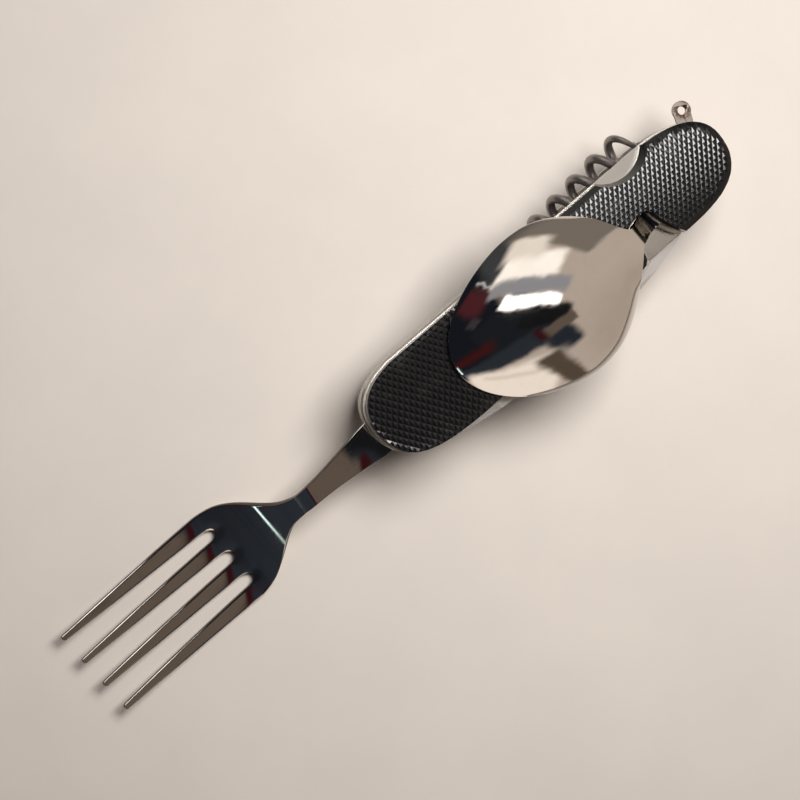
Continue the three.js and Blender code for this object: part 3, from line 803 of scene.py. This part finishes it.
@dataclass
class Spoon:
    """The folded spoon: a domed bowl, a shoulder, a bent neck and a flat shank with a round end."""

    centre_x: float = -4.0
    centre_y: float = -3.3
    reach: float = 26.0  # from the middle to the tip
    half_width: float = 18.6
    rim: float = 19.3
    depth: float = 7.25
    swell: float = 0.70
    lip: float = 0.14
    columns: int = 14
    neck_x: float = 21.8
    neck_top: float = 20.4
    shank_top: float = 13.1
    thickness: float = 2.0
    bowl_share: float = 0.51  # of the thickness, in the bowl
    thick_from: float = 15.5  # where the bowl's wall starts to thicken
    thick_run: float = 7.0
    flat_from: float = 14.5  # where the dome starts to flatten into the neck
    ramp_from: float = 21.5  # where the neck starts down to the shank
    ramp_run: float = 6.2
    tip_narrow: float = 0.10
    tip_drift: float = 2.1
    bowl_edges: tuple[Point, ...] = (  # X, then the Y of the lower and of the upper edge
        (-4.0, -21.9, 15.3),
        (0.0, -21.7, 15.15),
        (4.7, -20.7, 14.5),
        (9.7, -18.0, 12.2),
        (13.7, -15.1, 9.0),
        (16.7, -12.4, 5.9),
        (19.2, -9.85, 1.4),
        (20.6, -8.4, -1.1),
        (21.8, -7.2, -2.5),
    )
    shank_edges: tuple[Point, ...] = (
        (21.8, -7.1, -2.5),
        (28.4, -6.9, -2.3),
        (34.0, -6.7, -1.7),
        (38.0, -6.3, 0.2),
        (42.0, -5.7, 2.3),
        (45.0, -5.4, 3.4),
        (48.0, -5.3, 3.9),
        (50.5, -4.6, 3.2),
        (52.0, -2.9, 1.5),
        (52.6, -1.6, 0.2),
    )
    neck_stops: tuple[float, ...] = (0, 4, 8, 11.5, 14.5, 17, 19, 20.3, 21.2)
    shank_stops: tuple[float, ...] = (
        *(22.1, 23.2, 24.2, 25.2, 26.4, 27.6, 28.8, 32, 36, 40, 44, 48),
        *(50.4, 51.8, 52.5),
    )

    def stops(self) -> list[float]:
        """The places of the columns across the sheet, closer together at the rim."""
        return [math.sin(math.pi / 2 * (2 * j / self.columns - 1)) for j in range(self.columns + 1)]

    def section(self, spread: float) -> float:
        """The share of the dome's height at that square of the distance from its middle to its rim."""
        low = self.lip**self.swell
        return (max(0.0, 1 + self.lip - spread) ** self.swell - low) / ((1 + self.lip) ** self.swell - low)

    def between(self, edges: tuple[Point, ...], x: float) -> list[float]:
        """The places of the columns between two edges.

        Args:
            edges: the edges' table.
            x: where along the spoon.

        Returns:
            The Y of each column.
        """
        south = follow(tuple((row[0], row[1]) for row in edges), x)
        north = follow(tuple((row[0], row[2]) for row in edges), x)
        return [lerp(south, north, (t + 1) / 2) for t in self.stops()]

    def tip_row(self, place: float) -> list[Point]:
        """A row of the tip's half of the bowl.

        Args:
            place: from the rim at -1 to the middle at 0.

        Returns:
            The row's points.
        """
        row = []
        for across in self.stops():
            u = place * math.sqrt(1 - across * across / 2)
            v = across * math.sqrt(1 - place * place / 2)
            height = self.depth * self.section(u * u + v * v)
            width = self.half_width * (1 - self.tip_narrow * abs(u))
            middle = self.centre_y + self.tip_drift * u * u
            row.append((self.centre_x + u * self.reach, middle + v * width, self.rim + height))
        return row

    def neck_row(self, x: float) -> list[Point]:
        """A row of the neck's half of the bowl.

        Args:
            x: where along the spoon.

        Returns:
            The row's points.
        """
        u = (x - self.centre_x) / (self.neck_x - self.centre_x)
        neck_rise = self.neck_top - self.rim
        crest = neck_rise + (self.depth - neck_rise) * max(0.0, 1 - u * u) ** 1.1
        flat = smooth((x - self.flat_from) / (self.neck_x - self.flat_from))
        row = []
        for t, y in zip(self.stops(), self.between(self.bowl_edges, x)):
            row.append((x, y, self.rim + crest * lerp(self.section(t * t), 1.0, flat)))
        return row

    def shank_row(self, x: float) -> list[Point]:
        """A flat row of the neck or shank at that X."""
        top = lerp(self.neck_top, self.shank_top, smooth((x - self.ramp_from) / self.ramp_run))
        return [(x, y, top) for y in self.between(self.shank_edges, x)]

    def build(self) -> None:
        """Make the spoon and dress it."""
        sheet = Sheet()
        half = self.columns // 2
        rows = [sheet.row(self.tip_row(-math.cos(math.pi / 2 * i / half))) for i in range(half + 1)]
        rows += [sheet.row(self.neck_row(x)) for x in self.neck_stops]
        rows += [sheet.row(self.shank_row(x)) for x in self.shank_stops]
        for west, east in zip(rows, rows[1:]):
            sheet.join(west, east)
        piece = new_object("polished_spoon", sheet.points, sheet.faces)
        grown = [smooth((x - self.thick_from) / self.thick_run) for x, _, _ in sheet.points]
        weights = [lerp(self.bowl_share, 1.0, share) for share in grown]
        subdivide(piece, 2)
        wall(piece, self.thickness, weights)
        round_edges(piece, 0.13, 2)
        apply_stack(piece)
        combine(piece, prism("rivet_hole", circle(*PIVOT, RIVET_BORE), 8, 16), "DIFFERENCE")
        settle(piece, "spoon", Finish.MIRROR, ("spoon",))


# ---------- fork ----------


@dataclass
class Fork:
    """The open fork: a round end, a flat shank, a bent neck, a broad head and four tapering tines."""

    tip: float = -137.6
    head_y: float = 0.5
    thickness: float = 2.0
    tines: tuple[tuple[float, ...], ...] = (  # the lower edge at the tip and root, then the upper one
        (-10.05, -11.8, -8.85, -7.95),
        (-2.8, -4.95, -1.6, -1.2),
        (4.45, 2.0, 5.65, 5.75),
        (11.6, 8.6, 12.75, 12.75),
    )
    tine_curve: float = 0.85
    gaps: tuple[int, ...] = (2, 3, 6, 7, 10, 11)  # the open columns between the tines
    root_corner: float = -96.2
    root_depth: float = 1.9  # how far the roots run past their corners
    shank_end: float = -73.0  # where the shank ends and the bend starts
    shank_share: float = 0.94  # of the thickness, in the shank
    tip_share: float = 0.72  # of the thickness, at the tines
    level: tuple[Place, ...] = (  # the upper face
        (-138.6, -0.6),
        (-124.0, -3.0),
        (-110.0, -4.3),
        (-99.0, -4.4),
        (-94.0, -4.0),
        (-91.0, -3.5),
        (-88.0, -2.7),
        (-85.6, -1.6),
        (-83.5, -0.3),
        (-81.5, 1.3),
        (-79.0, 3.5),
        (-76.7, 5.5),
        (-75.0, 6.6),
        (-73.6, 7.04),
        (-72.3, 7.1),
    )
    half_widths: tuple[Place, ...] = (
        (-99.0, 12.35),
        (-96.5, 12.2),
        (-94.0, 11.9),
        (-92.0, 11.4),
        (-90.0, 10.5),
        (-88.0, 9.1),
        (-86.0, 7.4),
        (-84.5, 6.0),
        (-83.0, 4.7),
        (-81.5, 3.6),
        (-80.0, 2.9),
        (-77.0, 2.3),
        (-72.0, 2.35),
        (-66.0, 2.7),
        (-60.0, 3.55),
        (-54.0, 4.5),
        (-47.5, 4.6),
        (-45.5, 3.9),
        (-43.6, 1.2),
    )
    leans: tuple[Place, ...] = (
        (-137.6, 0.12),
        (-102.0, 0.12),
        (-96.0, 0.03),
        (-78.0, 0.0),
        (-72.0, 0.11),
        (-59.0, 0.11),
        (-54.5, 0.0),
    )
    tine_stops: tuple[float, ...] = (-137.5, -136.6, -133, -128, -122, -116, -110, -104, -100, -98)
    head_stops: tuple[float, ...] = (
        *(-93.2, -92, -90, -88, -86, -84.5, -83, -81.5, -80, -78.5, -77, -75.6, -74.3, -73, -71.5),
        *(-66, -60, -54, -50, -47.5, -45.5, -44.0, -43.5),
    )

    def axis(self, x: float) -> float:
        """The Y of the fork's middle at that X."""
        return lerp(PIVOT[1], self.head_y, smooth((-75 - x) / 15))

    def half(self, x: float) -> float:
        """Half the fork's width at that X, east of the tines."""
        return follow(self.half_widths, x)

    def top(self, x: float) -> float:
        """The level of the upper face at that X."""
        return follow(self.level, x)

    def lean(self, x: float) -> float:
        """How far the upper face leans towards -Y at that X, as a slope."""
        return follow(self.leans, x)

    def tine_row(self, x: float) -> list[Point]:
        """A row across the four tines: three points on each, and one between each pair for the roots.

        Args:
            x: where along the fork.

        Returns:
            The row's points.
        """
        row: list[Point] = []
        for k, edges in enumerate(self.tines):
            share = (x - self.tip) / (self.root_corner - self.tip)
            south = lerp(edges[0], edges[1], share**self.tine_curve)
            north = lerp(edges[2], edges[3], share**self.tine_curve)
            rise = self.lean(x) * (north - south) / 2
            for side in (-1, 0, 1):
                row.append((x, lerp(south, north, (side + 1) / 2), self.top(x) + side * rise))
            if k < 3:
                row.append((x, lerp(north, self.tines[k + 1][1], 0.5), self.top(x)))
        return row

    def head_row(self, x: float) -> list[Point]:
        """A row across the head, neck or shank, with the tines' columns drawn together.

        Args:
            x: where along the fork.

        Returns:
            The row's points.
        """
        last = self.tine_row(self.root_corner)
        reach = last[-1][1] - self.head_y
        row = []
        for _, y, _ in last:
            aside = (y - self.head_y) / reach * self.half(x)
            inside = self.half(x) * smooth((x + 79) / 6)  # the shank leans within its own layer
            row.append((x, self.axis(x) + aside, self.top(x) + self.lean(x) * (aside - inside)))
        return row

    def build(self) -> None:
        """Make the fork and dress it."""
        sheet = Sheet()
        rows = [sheet.row(self.tine_row(x)) for x in (*self.tine_stops, self.root_corner)]
        for west, east in zip(rows, rows[1:]):
            sheet.join(west, east, self.gaps)
        for index in rows[-1][3::4]:
            _, y, z = sheet.points[index]
            sheet.points[index] = (self.root_corner + self.root_depth, y, z)
        previous = rows[-1]
        for x in self.head_stops:
            row = sheet.row(self.head_row(x))
            sheet.join(previous, row)
            previous = row
        used = sorted({i for face in sheet.faces for i in face})
        number = {old: new for new, old in enumerate(used)}
        points = [sheet.points[i] for i in used]
        faces = [tuple(number[i] for i in face) for face in sheet.faces]
        piece = new_object("polished_fork", points, faces)
        weights = [lerp(1.0, self.tip_share, smooth((-72 - x) / 30)) for x, _, _ in points]
        for index, (x, _, z) in enumerate(points):
            if x > self.shank_end:
                weights[index] = self.shank_share - (self.top(x) - z) / self.thickness
        piece.data.materials.append(Finish.MIRROR.material())
        # the rim and rounded edges take the near-black painted shade of the cut edge
        piece.data.materials.append(Finish.SHEAR.material())
        subdivide(piece, 2)
        wall(piece, self.thickness, weights)
        piece.modifiers["wall"].material_offset_rim = 1
        round_edges(piece, 0.12, 2)
        piece.modifiers["rounded_edges"].material = 1
        apply_stack(piece)
        hole = prism("rivet_hole", circle(-PIVOT[0], PIVOT[1], RIVET_BORE), 2, 9)
        combine(piece, hole, "DIFFERENCE")
        settle(piece, "fork", Finish.MIRROR, ("fork",))


# ---------- corkscrew ----------


@dataclass
class Corkscrew:
    """The worm: a flattened eye on a pin, a short straight and a right-handed helix with a drawn point."""

    pin: Place = (-9.0, 8.0)
    level: float = 9.1
    turn: float = 4.4  # degrees that it stands out at rest
    wire: float = 1.12  # radius of the wire
    radius: float = 2.8  # of the helix
    pitch: float = 6.6
    lift: float = 1.1  # from the pin to the helix's middle
    straight: float = 5.6  # where the wire leaves the eye
    start: float = 11.1  # where the helix starts
    end: float = 48.3
    point: float = 5.6  # length of the drawn point
    steps: int = 190
    eye_radius: float = 2.9
    eye_bore: float = 1.17
    eye_reach: float = 4.2  # how far the eye is drawn out towards the wire
    eye_half: float = 0.85  # half its thickness
    eye_steps: int = 20

    def placed(self, x: float, y: float, z: float) -> Point:
        """Place a point of the worm's own frame in the handle, at rest.

        Args:
            x: along the worm from its pin.
            y: across it.
            z: above its middle.

        Returns:
            The point in the shared frame.
        """
        t = math.radians(self.turn)
        return (
            self.pin[0] + x * math.cos(t) - y * math.sin(t),
            self.pin[1] + x * math.sin(t) + y * math.cos(t),
            self.level + z,
        )

    def worm(self) -> bpy.types.Object:
        """The wire, as a curve with a round bevel that thins to the point.

        Returns:
            The wire's mesh object.
        """
        line = bpy.data.curves.new("worm_wire", "CURVE")
        line.dimensions, line.bevel_depth, line.bevel_resolution = "3D", self.wire * MM, 4
        line.use_fill_caps = True
        spline = line.splines.new("POLY")
        spline.points.add(self.steps)
        for i in range(self.steps + 1):
            x = lerp(self.straight, self.end, i / self.steps)
            turns = max(0.0, x - self.start) / self.pitch
            radius = self.radius * smooth(turns / 0.9)
            angle = 2 * math.pi * turns
            spot = self.placed(x, self.lift + radius * math.cos(angle), radius * math.sin(angle))
            spline.points[i].co = (*(v * MM for v in spot), 1.0)
            left = (self.end - x) / self.point
            spline.points[i].radius = 0.12 + 0.88 * min(1.0, left) ** 0.7
        piece = bpy.data.objects.new("worm_wire", line)
        bpy.context.scene.collection.objects.link(piece)
        mesh = bpy.data.meshes.new_from_object(piece.evaluated_get(bpy.context.evaluated_depsgraph_get()))
        bpy.data.objects.remove(piece)
        solid = bpy.data.objects.new("worm", mesh)
        bpy.context.scene.collection.objects.link(solid)
        mesh.polygons.foreach_set("use_smooth", [True] * len(mesh.polygons))
        return solid

    def eye(self) -> bpy.types.Object:
        """The flattened eye that turns on the pin.

        Returns:
            The eye.
        """
        rows = self.eye_steps
        points: list[Point] = []
        faces: list[tuple[int, ...]] = []
        for i in range(rows):
            t = 2 * math.pi * i / rows
            stretch = self.eye_reach * max(0.0, math.cos(t)) ** 6
            drift = 0.26 * stretch  # towards the helix's middle
            outer = (self.eye_radius * math.cos(t) + stretch, self.eye_radius * math.sin(t) + drift)
            inner = (self.eye_bore * math.cos(t), self.eye_bore * math.sin(t))
            for (x, y), side in ((outer, -1), (outer, 1), (inner, 1), (inner, -1)):
                points.append(self.placed(x, y, side * self.eye_half))
        for i in range(rows):
            j = (i + 1) % rows
            faces += [(4 * i + k, 4 * j + k, 4 * j + (k + 1) % 4, 4 * i + (k + 1) % 4) for k in range(4)]
        piece = new_object("worm_eye", points, faces)
        round_edges(piece, 0.3, 3)
        return piece

    def build(self) -> None:
        """Make the worm and its eye and dress them."""
        settle(self.worm(), "corkscrew", Finish.WORM, ("corkscrew",))
        settle(self.eye(), "corkscrew", Finish.WORM)


# ---------- flat steel ----------


RIVETS = (
    "fork_end_rivet",
    "lanyard_end_rivet",
    "spring_rivet",
    "front_scale_pin_1",
    "front_scale_pin_2",
    "back_scale_pin_1",
    "back_scale_pin_2",
    "corkscrew_pin",
)


@dataclass
class FlatSteel:
    """The liners, dividers, springs, spacers, blades, rivets and pins, which keep their solid shapes."""

    edges: dict[str, tuple[Finish, float]] = field(
        default_factory=lambda: {
            "back_liner": (Finish.LINER, 0.18),
            "front_liner": (Finish.LINER, 0.18),
            "lower_divider": (Finish.LINER, 0.15),
            "upper_divider": (Finish.EYE, 0.2),
            "knife_layer_spacer": (Finish.LINER, 0.15),
            "spoon_layer_spacer": (Finish.LINER, 0.15),
            "fork_spring": (Finish.SPRING, 0.2),
            "knife_spring": (Finish.SPRING, 0.2),
            "spoon_spring": (Finish.SPRING, 0.2),
            "knife": (Finish.BLADE, 0.10),
            "opener": (Finish.BLADE, 0.2),
            **{name: (Finish.RIVET, 0.12) for name in RIVETS},
        }
    )

    def build(self) -> None:
        """Round the edges of each node and dress it."""
        for name, (finish, width) in self.edges.items():
            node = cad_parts[name]
            node.data.polygons.foreach_set("use_smooth", [True] * len(node.data.polygons))
            merge = node.modifiers.new("merged", "WELD")
            merge.merge_threshold = WELD_GAP
            round_edges(node, width, 2, 30)
            even = node.modifiers.new("flat_faces", "WEIGHTED_NORMAL")
            even.mode, even.weight, even.keep_sharp = "FACE_AREA", 100, False
            node.data.materials.clear()
            node.data.materials.append(finish.material())
            LOG.info("%s dressed in %s", name, finish.value.name)


# ---------- studio ----------


@dataclass(frozen=True)
class Card:
    """A soft-edged card of the studio, in the plane of half-angle tangents over the handle."""

    x: float
    y: float
    half_x: float
    half_y: float
    turn: float  # degrees
    soft: float
    colour: tuple[float, float, float]
    share: float = 1.0


CARDS = (
    Card(0.80, 0.72, 0.55, 0.52, 14.0, 0.02, (0.24, 0.205, 0.17)),
    Card(0.15, 1.35, 0.75, 0.60, 8.0, 0.15, (0.13, 0.12, 0.11)),
    Card(0.02, 0.74, 0.17, 0.27, -6.0, 0.07, (0.060, 0.063, 0.067)),
    Card(0.42, -0.62, 0.30, 0.30, 0.0, 0.22, (0.46, 0.38, 0.315), 0.6),
    Card(-0.85, 0.50, 0.79, 0.66, 0.0, 0.04, (0.010, 0.012, 0.017)),
    Card(-0.12, 0.04, 0.17, 0.20, 0.0, 0.03, (0.014, 0.016, 0.020)),
    Card(-0.075, 0.58, 0.007, 0.13, 12.0, 0.006, (0.75, 0.75, 0.74)),
    Card(-0.18, 0.53, 0.09, 0.16, 20.0, 0.04, (0.085, 0.020, 0.024)),
    Card(-0.24, 0.33, 0.035, 0.05, 20.0, 0.02, (0.05, 0.045, 0.05)),
    Card(-0.55, 0.05, 0.33, 0.05, -6.0, 0.05, (0.060, 0.010, 0.010)),
    Card(-0.45, -0.16, 0.42, 0.08, -2.0, 0.03, (0.028, 0.034, 0.044)),
    Card(0.02, -0.27, 0.07, 0.16, 12.0, 0.03, (0.022, 0.028, 0.038)),
    Card(-0.42, -0.58, 0.32, 0.33, -22.0, 0.06, (1.15, 1.02, 0.90)),
    Card(-0.30, -0.40, 0.22, 0.03, -30.0, 0.04, (0.7, 0.6, 0.5), 0.5),
    Card(-0.05, -0.92, 0.075, 0.56, 4.0, 0.03, (0.11, 0.082, 0.060)),
    Card(-0.033, -0.165, 0.022, 0.05, 0.0, 0.010, (0.042, 0.007, 0.009)),
    Card(-0.62, -0.03, 0.014, 0.06, 4.0, 0.010, (1.7, 2.2, 2.1)),
    Card(0.035, -0.065, 0.145, 0.056, -50.0, 0.02, (0.009, 0.010, 0.011)),
    Card(0.065, -0.192, 0.080, 0.044, -6.0, 0.012, (0.145, 0.110, 0.086)),
    Card(0.147, 0.334, 0.22, 0.10, -56.8, 0.03, (1.45, 1.36, 1.25)),
    Card(0.215, 0.515, 0.17, 0.11, -56.8, 0.05, (1.1, 0.99, 0.87)),
    Card(0.068, 0.205, 0.26, 0.046, -56.8, 0.02, (0.36, 0.355, 0.38)),
    Card(0.027, 0.106, 0.180, 0.032, -56.8, 0.015, (3.2, 3.1, 3.0)),
)


@dataclass
class Studio:
    """The pale board, the camera, the soft key light and the room that the steel mirrors."""

    target: Point = (-43.66, 3.33, 16.0)
    offset: Point = (-49.54, 54.17, 480.0)  # from the target to the camera
    turn: float = 41.4  # degrees from the view's level to the handle
    lens: float = 95.76
    key_power: float = 1.62
    key_place: Point = (157.0, 36.0, 330.0)  # from the target
    key_size: Place = (0.22, 0.16)  # metres
    strip_place: Place = (0.027, 0.106)  # in the plane of half-angle tangents
    strip_turn: float = -56.8  # degrees
    strip_size: Place = (0.72, 0.13)  # metres
    strip_aim: Point = (0.036, 0.002, 0.018)  # the place it faces from a metre away, in metres
    strip_power: float = 10.5
    room_colour: Point = (0.60, 0.505, 0.425)  # between the cards
    backdrop: Point = (0.80, 0.75, 0.70)  # past the board's edge
    diffuse_gain: float = 0.11  # the room's share in what isn't mirrored
    wobble: float = 0.07  # how far the cards' edges wander
    board_half: float = 1600.0
    board_gap: float = 0.05  # under the lowest point

    def camera(self) -> None:
        """Place the camera over the handle."""
        data = bpy.data.cameras.new("camera")
        data.lens, data.sensor_width = self.lens, 36.0
        made = bpy.data.objects.new("camera", data)
        bpy.context.scene.collection.objects.link(made)
        back = Vector(self.offset).normalized()
        turn = math.radians(self.turn)
        up = Vector((math.sin(turn), math.cos(turn), 0))
        up = (up - back * up.dot(back)).normalized()
        basis = Matrix((up.cross(back), up, back)).transposed().to_4x4()
        made.matrix_world = Matrix.Translation((Vector(self.target) + Vector(self.offset)) * MM) @ basis
        data.clip_start, data.clip_end = 0.01, 20
        bpy.context.scene.camera = made

    def room(self) -> None:
        """Paint the room as soft cards around the zenith."""
        world = bpy.data.worlds.new("room")
        bpy.context.scene.world = world
        world.use_nodes = True
        graph = Graph(world.node_tree)
        back = world.node_tree.nodes["Background"]
        way = graph.add("ShaderNodeTexCoord").outputs["Generated"]
        parts = graph.add("ShaderNodeSeparateXYZ", None, {0: way}).outputs
        x, y, z = (Value(graph, parts[i]) for i in range(3))
        rise = z.math("MAXIMUM", -0.6) + 1.0
        waves = [graph.noise(scale, way, 2, 0.5) - 0.5 for scale in (4.0, 5.0)]
        px, py = x / rise + waves[0] * self.wobble, y / rise + waves[1] * self.wobble
        colour: object = rgb(*self.room_colour)
        for card in CARDS:
            turn = math.radians(card.turn)
            dx, dy = px - card.x, py - card.y
            along = (dx * math.cos(turn) + dy * math.sin(turn)).math("ABSOLUTE")
            across = (dy * math.cos(turn) - dx * math.sin(turn)).math("ABSOLUTE")
            inside = 1.0 - along.step(card.half_x - card.soft, card.half_x + card.soft)
            inside = inside * (1.0 - across.step(card.half_y - card.soft, card.half_y + card.soft))
            colour = graph.mix(inside * card.share, colour, rgb(*card.colour))
        path = graph.add("ShaderNodeLightPath").outputs
        seen = graph.mix(Value(graph, path["Is Camera Ray"]), colour, rgb(*self.backdrop))
        gain = Value(graph, path["Is Diffuse Ray"]) * (self.diffuse_gain - 1.0) + 1.0
        graph.tree.links.new(seen, back.inputs["Color"])
        graph.tree.links.new(gain.socket, back.inputs["Strength"])

    def key(self) -> None:
        """A soft key light from high over the lanyard's end, which the steel doesn't mirror."""
        data = bpy.data.lights.new("key", "AREA")
        data.shape, data.size, data.size_y = "RECTANGLE", *self.key_size
        data.energy, data.color = self.key_power, (1.0, 0.965, 0.93)
        made = bpy.data.objects.new("key", data)
        bpy.context.scene.collection.objects.link(made)
        aim = Vector(self.target) * MM
        spot = aim + Vector(self.key_place) * MM
        made.location = spot
        made.rotation_euler = (spot - aim).to_track_quat("Z", "Y").to_euler()
        made.visible_glossy = made.visible_camera = False

    def strip(self, pieces: list[bpy.types.Object]) -> None:
        """A long lamp above the handle that catches one side of every diamond.

        Args:
            pieces: the pieces it shines on.
        """
        data = bpy.data.lights.new("strip", "AREA")
        data.shape, data.size, data.size_y = "RECTANGLE", *self.strip_size
        data.energy, data.color = self.strip_power, (1.0, 0.97, 0.93)
        made = bpy.data.objects.new("strip", data)
        bpy.context.scene.collection.objects.link(made)
        x, y = self.strip_place
        way = Vector((2 * x, 2 * y, 1 - x * x - y * y)) / (1 + x * x + y * y)
        turn = math.radians(self.strip_turn)
        length = Vector((math.cos(turn), math.sin(turn), 0))
        length = (length - way * length.dot(way)).normalized()
        basis = Matrix((length, way.cross(length), way)).transposed().to_4x4()
        made.matrix_world = Matrix.Translation(Vector(self.strip_aim) + way) @ basis
        made.visible_camera = False
        lit = bpy.data.collections.new("knurled")
        for piece in pieces:
            lit.objects.link(piece)
        made.light_linking.receiver_collection = lit

    def board(self) -> None:
        """Lay the board under the lowest point of the cutlery."""
        level = CAD_BOX[0].z / MM - self.board_gap
        half = self.board_half
        corners = [(-half, -half, level), (half, -half, level), (half, half, level), (-half, half, level)]
        piece = new_object("board", corners, [(0, 1, 2, 3)], flat=True)
        piece.data.materials.append(Board().make())

    def build(self) -> None:
        """Set up the studio, all but the strip lamp, which is added once the scales are built."""
        bpy.context.scene.view_settings.view_transform = "Standard"
        self.camera()
        self.room()
        self.key()
        self.board()
        LOG.info("studio ready")


def main() -> None:
    """Build the studio and the cutlery."""
    logging.basicConfig(level=logging.INFO, format="%(name)s: %(message)s")
    studio = Studio()
    studio.build()
    front = KnurledScale("front_knurled_scale", "handle", "front_scale", 14.2, 1).build()
    back = KnurledScale("back_knurled_scale", "handle", "back_scale", 4.0, -1).build()
    studio.strip([front, back])
    Spoon().build()
    Fork().build()
    Corkscrew().build()
    FlatSteel().build()


if __name__ == "__main__":
    main()
